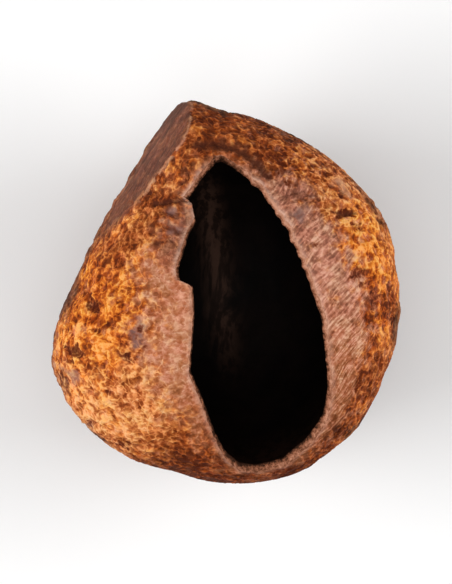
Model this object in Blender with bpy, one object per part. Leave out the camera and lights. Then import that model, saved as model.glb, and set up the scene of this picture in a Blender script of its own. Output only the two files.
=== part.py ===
"""Pangi seed shell: the hollow woody coat of one seed, lying on its back with its broken mouth up.

The seed grew pressed against others in the fruit, so the body is a rounded form with flat sides.
The kernel was taken out through the long scar edge, which left a ragged, almond-shaped mouth.
One solid: an outer skin with a raised net of ridges, an inner skin, and the broken edge between them.
Lengths are in millimetres until the mesh is made. +Z is up, out of the mouth; +Y is the mouth's long way.
"""

import math

import bmesh
import bpy
import numpy as np
from mathutils import Vector, noise

MM = 0.001
CENTRING = (-0.2, -0.25, 0.0)  # stands the finished shell over the middle of the frame

# Body: a dome above its widest level and a deeper bowl below it
WIDEST_LEVEL = 23.5  # height of the widest section above the table
DOME_RISE = 17.0  # from the widest level to where the dome would close
DOME_FULLNESS = 2.3  # exponent of the superellipse above the widest level
BOWL_FULLNESS = 2.15  # the same below it
BODY_AXIS = (0.45, -1.0)  # where the body's own axis passes through the plan
BACK_LEAN = (0.8, -0.4)  # how far the back wanders off that axis, to sit under the weight
BACK_LEAN_POWER = 1.6
FOOT_CUT = 1.1  # how much of the rounded bottom the flat spot takes away
LAST_SHARE = 0.1  # share of the plan radius at the last ring, inside the flat spot

# Plan radius about the body's axis, as angle in degrees and radius
PLAN = (
    (0, 23.6),
    (30, 24.3),
    (58, 24.1),
    (80, 25.1),
    (95, 27.0),
    (101, 28.3),
    (105, 28.7),
    (109, 27.7),
    (114, 25.7),
    (125, 22.7),
    (142, 20.65),
    (158, 20.4),
    (170, 20.95),
    (180, 22.2),
    (191, 24.1),
    (199, 25.6),
    (207, 25.9),
    (226, 26.2),
    (238, 25.9),
    (254, 24.5),
    (268, 24.9),
    (286, 25.6),
    (310, 25.1),
    (336, 23.8),
)

# Flats pressed by neighbouring seeds: plan direction and tilt upward in degrees, distance from the
# body's centre, and how softly the flat meets the round
FLATS = (
    (146.0, 16.0, 20.2, 0.5),
    (20.0, -36.0, 23.9, 2.2),
    (232.0, -32.0, 24.6, 2.5),
    (300.0, -40.0, 25.0, 3.0),
    (95.0, -40.0, 24.0, 2.2),
)

# Mouth: corners of the broken edge's inner line in plan, clockwise from the top
MOUTH = (
    (-0.4, 18.5),
    (1.1, 17.9),
    (3.5, 15.5),
    (5.7, 12.9),
    (8.7, 8.5),
    (10.9, 3.3),
    (13.1, -2.8),
    (13.8, -8.4),
    (14.1, -12.8),
    (13.5, -16.3),
    (11.3, -19.7),
    (7.8, -22.6),
    (4.0, -23.5),
    (2.0, -23.1),
    (0.2, -21.7),
    (-1.4, -19.0),
    (-2.6, -15.5),
    (-4.7, -10.2),
    (-4.4, -6.3),
    (-4.2, -2.3),
    (-4.4, 0.9),
    (-6.1, 1.6),
    (-6.4, 3.5),
    (-5.0, 7.7),
    (-4.1, 9.8),
    (-4.4, 11.5),
    (-5.5, 12.4),
    (-3.2, 15.7),
    (-1.7, 18.2),
)
MOUTH_FOOT_CORNER = 12  # the corner of MOUTH at its lower end
PLAN_TOP_ANGLE = 95.0  # plan angle that the mouth's upper end faces
PLAN_FOOT_ANGLE = -80.0  # and the one that its lower end faces

# Wall
WALL = 1.7
EDGE_WALL = 1.35  # the wall thins towards the broken edge
EDGE_THINNING_REACH = 0.25  # share of the way to the widest level over which it does
INNER_SOFTNESS = 0.6  # the flats are blunter inside

# Raised net on the outside: long cells that run from the mouth to the back
NET_RADIUS = 24.0
NET_CELL = 5.8  # width of a cell at the widest level
NET_STRETCH = 0.62  # a cell's width as a share of its length
NET_CROWDING = 0.5  # how far the cells crowd together towards the back
NET_HEIGHT = 0.62
NET_WIDTH = 0.3  # half-width of a ridge, as a share of a cell
NET_MEAN = 0.3  # mean height of the net, as a share of a ridge's
NET_WARP = 2.0
NET_WARP_SIZE = 9.0
LUMP_HEIGHT = 0.3
LUMP_SIZE = 8.0
LUMP_SEED = (7.0, 3.0, 1.0)
NET_MOUTH_REACH = 13.0  # the net fades out this close to the mouth
NET_SHARE_ABOVE = 0.35  # the net is this share as high above the widest level
NET_FULL_LEVEL = 14.0  # and full height below this level
LONG_FLAT_BLEND = 0.9  # the net ends this far outside the long flat's rim
LUMP_MOUTH_REACH = 4.0
FOOT_REACH = 4.0  # and both fade out this low above the table
NOISE_SEED = 1

# Mesh
COLUMNS = 128
DOME_ROWS = 14
BOWL_ROWS = 22
INNER_COLUMNS = COLUMNS // 2
INNER_DOME_ROWS = 5
INNER_BOWL_ROWS = 8

SHELL_COLOUR = (0.36, 0.13, 0.045, 1.0)
SHELL_ROUGHNESS = 0.5


def clear_scene():
    for obj in list(bpy.data.objects):
        bpy.data.objects.remove(obj, do_unlink=True)


def unit(angle):
    """Plan direction of an angle in radians."""
    return np.stack([np.cos(angle), np.sin(angle)], axis=-1)


def plan_radius(angle):
    """Radius of the widest section: a smooth closed curve through PLAN."""
    knots = np.radians([a for a, _ in PLAN])
    radii = np.array([r for _, r in PLAN])
    knots = np.concatenate([knots[-2:] - 2 * math.pi, knots, knots[:2] + 2 * math.pi])
    radii = np.concatenate([radii[-2:], radii, radii[:2]])
    slopes = np.gradient(radii, knots)
    angle = np.mod(angle, 2 * math.pi)
    left = np.clip(np.searchsorted(knots, angle, side="right") - 1, 0, len(knots) - 2)
    span = knots[left + 1] - knots[left]
    t = (angle - knots[left]) / span
    return (
        (2 * t**3 - 3 * t**2 + 1) * radii[left]
        + (t**3 - 2 * t**2 + t) * span * slopes[left]
        + (3 * t**2 - 2 * t**3) * radii[left + 1]
        + (t**3 - t**2) * span * slopes[left + 1]
    )


def along_line(points, count):
    """count points evenly spaced along a broken line, its last point left out."""
    points = np.array(points, float)
    steps = np.linalg.norm(np.diff(points, axis=0), axis=1)
    reached = np.concatenate([[0.0], np.cumsum(steps)])
    wanted = np.linspace(0.0, reached[-1], count, endpoint=False)
    return np.stack([np.interp(wanted, reached, points[:, k]) for k in (0, 1)], axis=-1)


def mouth_edge(columns):
    """The broken edge in plan, one point for each column, clockwise from its upper end."""
    half = columns // 2
    right = MOUTH[: MOUTH_FOOT_CORNER + 1]
    left = MOUTH[MOUTH_FOOT_CORNER:] + MOUTH[:1]
    return np.concatenate([along_line(right, half), along_line(left, columns - half)])


def widest_angles(columns):
    """Plan angle at the widest level for each column, clockwise from the top."""
    half = columns // 2
    right = np.linspace(PLAN_TOP_ANGLE, PLAN_FOOT_ANGLE, half, endpoint=False)
    left = np.linspace(PLAN_FOOT_ANGLE, PLAN_TOP_ANGLE - 360.0, columns - half, endpoint=False)
    return np.radians(np.concatenate([right, left]))


def surface_rows(columns, dome_rows, bowl_rows):
    """Angle and share of the plan radius at each row and column.

    Rows run from the broken edge over the widest level to a small ring at the bottom.
    """
    edge = mouth_edge(columns) - np.array(BODY_AXIS)
    edge_angle = np.arctan2(edge[:, 1], edge[:, 0])
    edge_share = np.linalg.norm(edge, axis=1) / (plan_radius(edge_angle) - EDGE_WALL)
    start = unit(edge_angle) * edge_share[:, None]
    wide = widest_angles(columns)
    end = unit(wide)
    polar = np.arcsin(edge_share)
    angles, shares = [], []
    for row in range(dome_rows):
        tilt = polar + (math.pi / 2 - polar) * row / dome_rows
        way = (np.sin(tilt) - edge_share) / (1.0 - edge_share)
        place = start + (end - start) * way[:, None]
        angles.append(np.arctan2(place[:, 1], place[:, 0]))
        shares.append(np.linalg.norm(place, axis=1))
    last_tilt = math.pi - math.asin(LAST_SHARE)
    for tilt in np.linspace(math.pi / 2, last_tilt, bowl_rows + 1):
        angles.append(wide)
        shares.append(np.full(columns, math.sin(tilt)))
    return np.array(angles), np.minimum(np.array(shares), 1.0)


def past_flat(points, flat, inset=0.0):
    """How far points stand out past a flat, and the flat's direction."""
    direction, tilt, distance, _ = flat
    turn, lift = math.radians(direction), math.radians(tilt)
    normal = np.array([math.cos(turn) * math.cos(lift), math.sin(turn) * math.cos(lift), math.sin(lift)])
    centre = np.array([BODY_AXIS[0], BODY_AXIS[1], WIDEST_LEVEL])
    return (points - centre) @ normal - (distance - inset), normal


def press_flats(points, inset=0.0, softness_added=0.0):
    """Pushes back what stands out past each flat, blending softly into the round."""
    for flat in FLATS:
        past, normal = past_flat(points, flat, inset)
        soft = flat[3] + softness_added
        pushed = soft * np.logaddexp(0.0, past / soft)
        points = points - pushed[..., None] * normal
    return points


def rounded_body(angles, shares, dome_rows, bowl_depth, inset=0.0):
    """The body before its flats are pressed, set in from the outside by inset, an array or a number."""
    below = (np.arange(len(shares)) >= dome_rows)[:, None]
    fullness = np.where(below, BOWL_FULLNESS, DOME_FULLNESS)
    rise = np.where(below, -bowl_depth, DOME_RISE - inset)
    height = rise * (1.0 - shares**fullness) ** (1.0 / fullness)
    radius = (plan_radius(angles) - inset) * shares
    plan = unit(angles) * radius[..., None] + np.array(BODY_AXIS)
    lean = np.clip(-height / WIDEST_LEVEL, 0.0, 1.0) ** BACK_LEAN_POWER
    plan = plan + lean[..., None] * np.array(BACK_LEAN)
    return np.concatenate([plan, (WIDEST_LEVEL + height)[..., None]], axis=-1)


def outward(points):
    """Unit normals of a grid of points that closes on itself along each row."""
    across = np.roll(points, -1, axis=1) - np.roll(points, 1, axis=1)
    down = np.gradient(points, axis=0)
    normals = np.cross(across, down)
    normals /= np.linalg.norm(normals, axis=-1, keepdims=True)
    return normals


def fade(distance, reach):
    t = np.clip(distance / reach, 0.0, 1.0)
    return t * t * (3.0 - 2.0 * t)


def run_along(points):
    """Length along each column from the first row to every row."""
    steps = np.linalg.norm(np.diff(points, axis=0), axis=-1)
    return np.concatenate([np.zeros((1, points.shape[1])), np.cumsum(steps, axis=0)])


def net_places(shares, run, dome_rows):
    """Where each point of the skin falls in the space that the net's cells fill."""
    spread = NET_RADIUS * (NET_CROWDING + (1.0 - NET_CROWDING) * shares)
    plan = unit(widest_angles(shares.shape[1])) * spread[..., None]
    depth = (run - run[dome_rows]) * NET_STRETCH
    return np.concatenate([plan, depth[..., None]], axis=-1)


def net_at(place):
    """Height of the net at a place among its cells, from 0 in a cell to 1 on a ridge."""
    warped = Vector(place) + noise.noise_vector(Vector(place) / NET_WARP_SIZE) * NET_WARP
    distances, _ = noise.voronoi(warped / NET_CELL)
    return math.exp(-(((distances[1] - distances[0]) / NET_WIDTH) ** 2))


def lump_at(point):
    return noise.noise(Vector(point) / LUMP_SIZE + Vector(LUMP_SEED))


def each(field, grid):
    return np.array([[field(place) for place in row] for row in grid])


def net_share(points, rounded, run):
    """How much of its height the net has: none at the mouth and on the long flat, most on the back."""
    low = fade(WIDEST_LEVEL - points[..., 2], WIDEST_LEVEL - NET_FULL_LEVEL)
    past, _ = past_flat(rounded, FLATS[0])
    off_flat = fade(-past, LONG_FLAT_BLEND)
    return (NET_SHARE_ABOVE + (1.0 - NET_SHARE_ABOVE) * low) * off_flat * fade(run, NET_MOUTH_REACH)


def relief(points, rounded, shares, dome_rows):
    """Height of the net and the lumps over the smooth skin."""
    run = run_along(points)
    net = each(net_at, net_places(shares, run, dome_rows)) - NET_MEAN
    lump = each(lump_at, points)
    height = NET_HEIGHT * net * net_share(points, rounded, run)
    height += LUMP_HEIGHT * lump * fade(run, LUMP_MOUTH_REACH)
    return height * fade(points[..., 2], FOOT_REACH)


def outer_skin():
    angles, shares = surface_rows(COLUMNS, DOME_ROWS, BOWL_ROWS)
    rounded = rounded_body(angles, shares, DOME_ROWS, WIDEST_LEVEL + FOOT_CUT)
    points = press_flats(rounded)
    points = points + relief(points, rounded, shares, DOME_ROWS)[..., None] * outward(points)
    points[..., 2] = np.maximum(points[..., 2], 0.0)
    return points


def inner_skin():
    angles, shares = surface_rows(INNER_COLUMNS, INNER_DOME_ROWS, INNER_BOWL_ROWS)
    way = np.arange(len(shares))[:, None] / INNER_DOME_ROWS
    inset = EDGE_WALL + (WALL - EDGE_WALL) * fade(way, EDGE_THINNING_REACH)
    points = rounded_body(angles, shares, INNER_DOME_ROWS, WIDEST_LEVEL - WALL, inset)
    points = press_flats(points, np.mean(inset), INNER_SOFTNESS)
    points[-1, :, 2] = WALL
    return points


def add_rings(mesh, points):
    return [[mesh.verts.new(Vector(p) * MM) for p in row] for row in points + np.array(CENTRING)]


def bridge(mesh, upper, lower):
    for k in range(len(upper)):
        after = (k + 1) % len(upper)
        mesh.faces.new((upper[k], lower[k], lower[after], upper[after]))


def bridge_halved(mesh, inner, outer):
    """Joins the inner edge to the outer edge, which has twice its points."""
    for k in range(len(inner)):
        near, far = inner[k], inner[(k + 1) % len(inner)]
        first, middle, last = outer[2 * k], outer[2 * k + 1], outer[(2 * k + 2) % len(outer)]
        mesh.faces.new((near, first, middle))
        mesh.faces.new((near, middle, far))
        mesh.faces.new((far, middle, last))


def build_shell():
    mesh = bmesh.new()
    outer = add_rings(mesh, outer_skin())
    inner = add_rings(mesh, inner_skin())
    for rings in (outer, inner):
        for upper, lower in zip(rings, rings[1:]):
            bridge(mesh, upper, lower)
        mesh.faces.new(rings[-1])
    bridge_halved(mesh, inner[0], outer[0])
    bmesh.ops.recalc_face_normals(mesh, faces=mesh.faces)
    data = bpy.data.meshes.new("shell")
    mesh.to_mesh(data)
    mesh.free()
    data.shade_smooth()
    return data


def shell_material():
    material = bpy.data.materials.new("woody_coat")
    material.use_nodes = True
    shader = material.node_tree.nodes["Principled BSDF"]
    shader.inputs["Base Color"].default_value = SHELL_COLOUR
    shader.inputs["Roughness"].default_value = SHELL_ROUGHNESS
    shader.inputs["Metallic"].default_value = 0.0
    return material


def main():
    clear_scene()
    noise.seed_set(NOISE_SEED)
    data = build_shell()
    data.materials.append(shell_material())
    shell = bpy.data.objects.new("shell", data)
    bpy.context.scene.collection.objects.link(shell)


main()
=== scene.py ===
import math

import bpy
import numpy as np
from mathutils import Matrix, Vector, noise


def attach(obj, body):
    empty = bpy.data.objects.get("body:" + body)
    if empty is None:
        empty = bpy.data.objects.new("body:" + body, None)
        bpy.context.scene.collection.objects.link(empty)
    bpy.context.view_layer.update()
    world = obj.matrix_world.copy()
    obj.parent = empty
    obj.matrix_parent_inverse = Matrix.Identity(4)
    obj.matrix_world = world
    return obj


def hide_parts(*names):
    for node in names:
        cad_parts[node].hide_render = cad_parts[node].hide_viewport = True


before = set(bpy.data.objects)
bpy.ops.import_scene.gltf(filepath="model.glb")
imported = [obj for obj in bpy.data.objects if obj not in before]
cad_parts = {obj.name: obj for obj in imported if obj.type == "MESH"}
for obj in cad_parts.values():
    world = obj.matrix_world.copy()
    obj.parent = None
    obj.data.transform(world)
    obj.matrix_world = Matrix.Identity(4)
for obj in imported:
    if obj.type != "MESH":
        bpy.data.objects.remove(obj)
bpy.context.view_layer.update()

# Looks of the pangi seed shell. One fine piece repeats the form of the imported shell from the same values,
# with the broken edge a little further into the mouth. It adds what the skin shows: worm-like ridges, pits,
# cracks, the scarred band round the mouth and the crumbled edge. What belongs where is kept on the mesh as
# masks, which the materials read. Lengths are in millimetres until the mesh is made.

MM = 0.001
CENTRING = (-0.2, -0.25, 0.0)  # brings the middle of the shell's box to the frame's origin
NOISE_SEED = 1

# Body
WIDEST_LEVEL = 23.5
DOME_RISE = 17.0
DOME_FULLNESS = 2.3
BOWL_FULLNESS = 2.15
BODY_AXIS = (0.45, -1.0)
BACK_LEAN = (0.8, -0.4)
BACK_LEAN_POWER = 1.6
FOOT_CUT = 1.1  # the flat spot cuts this much off the bowl
LAST_SHARE = 0.1  # share of the plan radius at the bowl's last row

# Plan radius about the body's axis, as angle in degrees and radius
PLAN = (
    (0, 23.6), (30, 24.3), (58, 24.1), (80, 25.1), (95, 27.0), (101, 28.3), (105, 28.7), (109, 27.7),
    (114, 25.7), (125, 22.7), (142, 20.65), (158, 20.4), (170, 20.95), (180, 22.2), (191, 24.1),
    (199, 25.6), (207, 25.9), (226, 26.2), (238, 25.9), (254, 24.5), (268, 24.9), (286, 25.6),
    (310, 25.1), (336, 23.8),
)

# Flats: plan direction and tilt upward in degrees, distance from the body's centre, softness
FLATS = (
    (146.0, 16.0, 20.2, 0.5),
    (20.0, -36.0, 23.9, 2.2),
    (232.0, -32.0, 24.6, 2.5),
    (300.0, -40.0, 25.0, 3.0),
    (95.0, -40.0, 24.0, 2.2),
)

# Mouth: corners of the broken edge's inner line in plan, clockwise from the top
MOUTH = (
    (-0.4, 18.5), (1.1, 17.9), (3.5, 15.5), (5.7, 12.9), (8.7, 8.5), (10.9, 3.3), (13.1, -2.8),
    (13.8, -8.4), (14.1, -12.8), (13.5, -16.3), (11.3, -19.7), (7.8, -22.6), (4.0, -23.5),
    (2.0, -23.1), (0.2, -21.7), (-1.4, -19.0), (-2.6, -15.5), (-4.7, -10.2), (-4.4, -6.3),
    (-4.2, -2.3), (-4.4, 0.9), (-6.1, 1.6), (-6.4, 3.5), (-5.0, 7.7), (-4.1, 9.8), (-4.4, 11.5),
    (-5.5, 12.4), (-3.2, 15.7), (-1.7, 18.2),
)
MOUTH_FOOT_CORNER = 12
PLAN_TOP_ANGLE = 95.0
PLAN_FOOT_ANGLE = -80.0
JAGS = ((3.1, 0.3), (1.1, 0.4), (0.5, 0.14))  # crumbling of the broken edge: size and depth
JAGS_LEAST = 0.3  # share of that depth away from the upper right, which is the most ragged
JAGS_REACH = (4.0, 8.0)  # the depth grows to its most over this much of X and Y
EDGE_SET_IN = 0.15  # crumbs stand this far into the mouth from the plain edge
TOP_SET_IN = 0.5  # and this much further at its upper end
TOP_SET_IN_FROM = 15.5
TOP_SET_IN_REACH = 2.5
EDGE_BULGE = 0.14
CRUMB_SIZE = 0.6
CRUMB_HEIGHT = 0.09

# Wall
WALL = 1.7
EDGE_WALL = 1.35
EDGE_THINNING_REACH = 0.25
INNER_SOFTNESS = 0.6
INNER_LUMP_HEIGHT = 0.25

# Raised net of large ridges
NET_RADIUS = 24.0
NET_CELL = 5.8
NET_STRETCH = 0.62
NET_CROWDING = 0.5
NET_HEIGHT = 0.62
NET_WIDTH = 0.3
NET_MEAN = 0.3
NET_WARP = 2.0
NET_WARP_SIZE = 9.0
NET_MOUTH_REACH = 13.0
NET_SHARE_ABOVE = 0.35
RIDGE_CREST = 0.62  # the pale line along each ridge starts at this height
NET_FULL_LEVEL = 14.0
LONG_FLAT_BLEND = 0.9

# Broad lumps
LUMP_HEIGHT = 0.3
LUMP_SIZE = 8.0
LUMP_SEED = (7.0, 3.0, 1.0)
LUMP_MOUTH_REACH = 4.0
FOOT_REACH = 4.0  # all relief fades out over this height above the flat spot

# Long flat: its upper edge is a crisp crease with a painted highlight along part of it, its lower one is
# blurred and wanders
FACET_OVERLAP = 0.2
FACET_BLUR = 0.6
FACET_BLUR_BELOW = 1.2
FACET_EDGE_WANDER = 1.0
FACET_LOWER_FROM = 2.0
FACET_LOWER_REACH = 8.0
CREASE_HIGHLIGHT_OVERLAP = 0.1
CREASE_HIGHLIGHT_HALF_WIDTH = 0.22
CREASE_HIGHLIGHT_FROM = 11.0
CREASE_HIGHLIGHT_REACH = 4.0

# Fine threads on the sides and back
THREAD_BEND = 0.9
THREAD_BEND_SIZE = 3.0

# Worm-like ridges between the large ones
WORM_SIZE = 1.05
WORM_STRETCH = (1.0, 0.6, 1.0)  # makes them longer the way the shell is long
WORM_WIDTH = 0.26
WORM_MEAN = 0.55
WORM_HEIGHT = 0.24
WORM_WARP = 0.8
WORM_WARP_SIZE = 2.2
WORM_LOST_ON_BAND = 0.7  # share of their height that is missing on the scarred band
WORM_LOST_ON_FLAT = 0.8  # and on the long flat

SKIN_SET_IN = 0.18  # keeps the fine ridges inside the outline of the plain body

# Scattered pits
PIT_CELL = 2.6
PIT_SIZE = 0.2
PIT_DEPTH = 0.2

TOP_SIDE_REACH = 2.0  # what belongs to the mouth's side fades out over this height at the widest level

# Scarred band round the mouth: its width against the plan angle of its column
BAND_WIDTH = (
    (8, 6.4), (20, 6.4), (48, 5.6), (62, 3.8), (75, 2.0), (95, 0.3), (120, 1.2), (132, 2.1),
    (140, 3.1), (150, 3.8), (165, 5.0), (180, 5.9), (195, 6.3), (217, 5.6), (230, 4.2), (240, 2.5),
    (255, 1.0), (280, 0.6), (308, 1.3), (322, 2.6), (334, 4.0), (349, 5.4),
)
BAND_SOFTNESS = 7.0
BAND_SOFTNESS_RIGHT = 4.5
BAND_RIGHT_REACH = 8.0  # the softness changes to that of the right over this much of X
BAND_WANDER = 2.2
BAND_WANDER_SIZE = 2.6

# Stripes on the band turn by this much for each millimetre from the mouth, against the plan angle
STRIPE_TURN = ((0, 0.8), (30, 0.2), (90, 0.0), (180, 0.1), (240, 0.3), (300, 1.5), (330, 1.8))
STRIPE_TURN_REACH = 14.0
STRIPE_WANDER = 1.0
STRIPE_WANDER_SIZE = 4.0
STRIPED_LEAST = 0.3  # share of the stripes' strength on the left; it is whole this far to the right
STRIPED_REACH = 6.0

# How amber the skin is, against the plan angle of its column
AMBER_SHARE = (
    (0, 0.95), (20, 0.95), (45, 0.9), (60, 0.85), (75, 0.8), (95, 0.8), (110, 0.75), (125, 0.8),
    (140, 0.9), (155, 0.95), (170, 1.0), (200, 1.0), (225, 1.0), (240, 0.9), (250, 0.85), (265, 0.8),
    (290, 0.85), (310, 0.95), (325, 0.95), (340, 0.95),
)
AMBER_LOWEST = 20.0  # below this level the skin is grey-brown, and dark further down
AMBER_FULL = 30.0
LEVEL_WANDER = 9.0
LEVEL_WANDER_SIZE = 6.0
SHEEN_LOWEST = 14.0  # the painted grey sheen starts at this level and is strongest at the next
SHEEN_FULL = 24.0

# Painted light and shade: how much brighter or darker the skin is than its mean, against the plan angle of
# its column. It is brighter on the left and right flanks where the light falls, darker at the top and the
# bottom where shade falls
PAINTED_LIGHT_SHIFT = (
    (0, -0.07), (20, 0.13), (45, 0.13), (60, -0.11), (75, -0.16), (95, -0.19), (110, -0.17),
    (125, -0.11), (140, -0.03), (152, -0.02), (165, 0.02), (185, 0.03), (200, 0.12), (215, 0.2),
    (230, 0.15), (245, -0.15), (262, -0.3), (285, -0.3), (310, -0.22), (330, -0.12), (345, -0.05),
)

# How strong the mottling is, against the plan angle of its column
CONTRAST = (
    (0, 1.1), (20, 1.15), (45, 1.15), (60, 1.15), (75, 1.0), (95, 0.85), (120, 1.0), (150, 0.95),
    (175, 1.1), (205, 1.2), (225, 1.0), (240, 0.85), (265, 0.8), (290, 0.8), (320, 0.85), (340, 1.0),
)

# Painted light and shade on the scarred band: how much brighter or darker it is than its mean, against the
# plan angle of its column, darker at the top and the bottom where shade falls
BAND_PAINTED_LIGHT_SHIFT = (
    (0, 0.03), (25, 0.04), (50, 0.01), (70, -0.08), (95, -0.16), (125, -0.2), (150, -0.2),
    (165, -0.02), (180, 0.05), (200, 0.04), (215, 0.03), (235, -0.1), (265, -0.2), (290, -0.18),
    (315, -0.1), (340, -0.02),
)

# The same painted light and shade for the broken edge: brighter at the right and the left, darker at the
# top and the bottom
EDGE_PAINTED_LIGHT_SHIFT = (
    (0, 0.15), (20, 0.25), (45, 0.35), (62, 0.4), (78, 0.15), (88, -0.12), (102, -0.12),
    (112, 0.05), (125, 0.05), (150, -0.05), (165, 0.05), (180, 0.1), (200, 0.05), (215, 0.0),
    (235, -0.15), (265, -0.2), (290, -0.15), (315, -0.05), (340, 0.1),
)

# How strong the painted grey sheen is near the widest level, which is the outline seen from above, against
# the plan angle of its column
OUTLINE_SHEEN_SHARE = (
    (0, 0.3), (60, 0.25), (95, 0.4), (120, 0.8), (150, 1.0), (185, 0.9), (215, 1.0), (235, 0.8),
    (255, 0.3), (300, 0.25), (340, 0.3),
)

# Where the amber is most golden, in plan: place and half-lengths along X and Y
GOLDEN_PLACES = ((-17.5, -2.5, 6.0, 9.0), (18.5, 3.0, 4.5, 9.0))

# The flap above the left notch is pinkish grey: place and half-lengths along X and Y
MAUVE_FLAP = (-6.8, 8.6, 3.0, 4.5)
# So is the band's right side: where that starts, and over how much it grows, along X and Y
MAUVE_RIGHT_FROM = (2.0, -9.0)
MAUVE_RIGHT_REACH = (6.0, 11.0)

# How strong the painted highlight along the rim of the broken edge is, against the plan angle of its column
RIM_HIGHLIGHT_SHARE = (
    (0, 0.5), (40, 0.7), (62, 1.15), (75, 0.9), (85, 0.0), (100, 0.0), (112, 0.8), (140, 0.8),
    (155, 1.0), (175, 0.7), (200, 0.6), (240, 0.5), (270, 0.35), (320, 0.4),
)
RIM_HIGHLIGHT_WIDTH = 0.45

# Pale lines in plan: the points of the line and its half-width
PALE_LINES = (
    (((-24.2, -9.4), (-23.0, -9.9), (-21.6, -10.2), (-20.0, -11.3)), 0.25),
    (((-22.3, -13.2), (-21.1, -15.6), (-19.5, -17.6), (-18.3, -18.8)), 0.3),
    (((15.4, 15.3), (16.4, 14.6), (17.4, 13.4)), 0.6),
    (((-5.4, 12.0), (-4.9, 10.8), (-4.7, 9.4), (-5.6, 7.2)), 0.3),
    (((-8.6, 9.9), (-7.6, 9.8), (-6.4, 9.5)), 0.25),
)
PALE_LINE_WANDER = 0.4
PALE_LINE_REACH = 1.5

# Marks in plan: place, half-lengths along X and Y, depth of the dent, and how grey and how dark it is
MARKS = (
    (-17.8, -1.6, 1.0, 0.9, 0.3, 0.0, 1.0),
    (-18.8, 0.1, 0.8, 0.3, 0.15, 0.0, 0.7),
    (-15.5, -4.4, 0.9, 0.6, 0.2, 0.0, 0.5),
    (-17.4, -4.9, 1.0, 0.4, 0.2, 0.0, 0.8),
    (-20.2, -7.9, 1.7, 1.1, 0.3, 0.0, 1.0),
    (-21.5, -7.2, 0.5, 0.5, 0.2, 0.0, 0.8),
    (-11.6, -5.6, 1.0, 2.1, 0.15, 0.9, 0.0),
    (-11.4, -4.6, 0.4, 0.6, 0.2, 0.0, 0.9),
    (-11.7, -6.0, 0.4, 0.4, 0.1, 0.0, 0.7),
    (-11.0, -7.1, 0.3, 0.4, 0.1, 0.0, 0.7),
    (-13.3, -8.4, 0.9, 0.8, 0.3, 0.3, 0.95),
    (-17.4, -9.8, 0.5, 0.4, 0.2, 0.0, 0.7),
    (-20.3, -11.4, 1.1, 0.8, 0.1, 0.8, 0.3),
    (-11.7, -15.3, 0.4, 0.4, 0.1, 0.0, 0.7),
    (-18.5, -17.8, 0.8, 0.5, 0.2, 0.3, 0.7),
    (-13.9, -20.6, 1.2, 0.7, 0.2, 0.0, 0.8),
    (-7.0, 11.2, 0.8, 0.5, 0.15, 0.9, 0.2),
    (-7.0, 8.8, 0.9, 0.9, 0.2, 0.9, 0.4),
    (-13.0, 12.5, 0.5, 0.4, 0.15, 0.0, 0.7),
    (9.0, 15.2, 1.1, 0.45, 0.25, 0.2, 0.9),
    (7.6, 16.5, 0.6, 0.4, 0.15, 0.3, 0.7),
    (6.2, 18.8, 1.0, 0.5, 0.15, 0.0, 0.7),
    (10.3, 10.7, 1.1, 0.9, 0.1, 0.8, 0.2),
    (12.5, 6.7, 0.35, 0.35, 0.15, 0.0, 0.8),
    (16.0, 13.8, 0.6, 0.6, 0.25, 0.0, 0.95),
    (16.2, 11.1, 1.4, 0.7, 0.25, 0.0, 0.95),
    (18.2, 9.2, 1.0, 0.9, 0.25, 0.0, 0.65),
    (18.3, 2.7, 1.1, 1.3, 0.2, 0.2, 0.85),
    (20.1, -0.6, 0.9, 1.3, 0.25, 0.3, 0.9),
    (19.9, -6.2, 0.8, 0.5, 0.15, 0.0, 0.6),
    (18.3, -13.0, 1.0, 0.7, 0.2, 0.0, 0.7),
)
MARK_RAGGEDNESS = 1.0
MARK_RAGGEDNESS_SIZE = 0.9
MARK_CORE = 0.5  # share of its half-lengths within which a mark is whole
MARK_BLUR = 0.9

# Cracks and grooves in plan: the points of the line, half-width and depth. The wide one above the mouth is
# painted shadow along a shallow groove
CRACKS = (
    (((-5.2, 12.6), (-7.4, 12.6), (-9.8, 12.1)), 0.28, 0.6),
    (((-6.2, 6.1), (-7.4, 7.2), (-9.6, 6.9)), 0.2, 0.25),
    (((-8.8, 10.8), (-7.4, 10.7), (-6.1, 10.3)), 0.18, 0.2),
    (((-8.2, 9.1), (-7.2, 8.9), (-6.2, 8.1)), 0.18, 0.2),
    (((-6.4, 17.2), (-5.0, 16.6), (-4.8, 15.6), (-5.8, 15.0)), 0.22, 0.25),
    # painted shadow above the mouth's top, along a shallow groove
    (((-3.9, 20.2), (-1.7, 20.4), (0.4, 20.1), (2.6, 19.2), (4.5, 17.6), (6.0, 15.9)), 0.5, 0.35),
    (((8.6, 13.4), (10.5, 13.9), (12.3, 13.3)), 0.18, 0.2),
    (((9.0, 12.5), (10.6, 12.9), (12.0, 12.4)), 0.15, 0.15),
    (((14.6, 11.4), (16.2, 10.8), (18.0, 11.0)), 0.22, 0.25),
)
CRACK_WANDER = 0.3
CRACK_FULL = 0.25  # cracks at least this deep are at their darkest

# Faint seam on the floor of the hollow: its middle line as y and x, and its half-width
SEAM_LINE = ((-20.0, 1.5), (-10.0, 0.6), (0.0, -0.6), (8.0, -1.6), (16.0, -2.6))
SEAM_HALF_WIDTH = 1.7
SEAM_FOOT = -14.0
SEAM_FOOT_REACH = 14.0
SEAM_TOP = 18.0
SEAM_TOP_REACH = 5.0
UPPER_WALL_LOWEST = 12.0  # the wall is lighter above this level; deeper down it is painted nearly black as shade

# Columns and rows of the mesh
COLUMNS = 480
DOME_ROWS = 60
BOWL_ROWS = 88
EDGE_ROWS = 4
INNER_DOME_ROWS = 10
INNER_BOWL_ROWS = 14


# Shape

def unit(angle):
    """Plan direction of an angle in radians."""
    return np.stack([np.cos(angle), np.sin(angle)], axis=-1)


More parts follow.
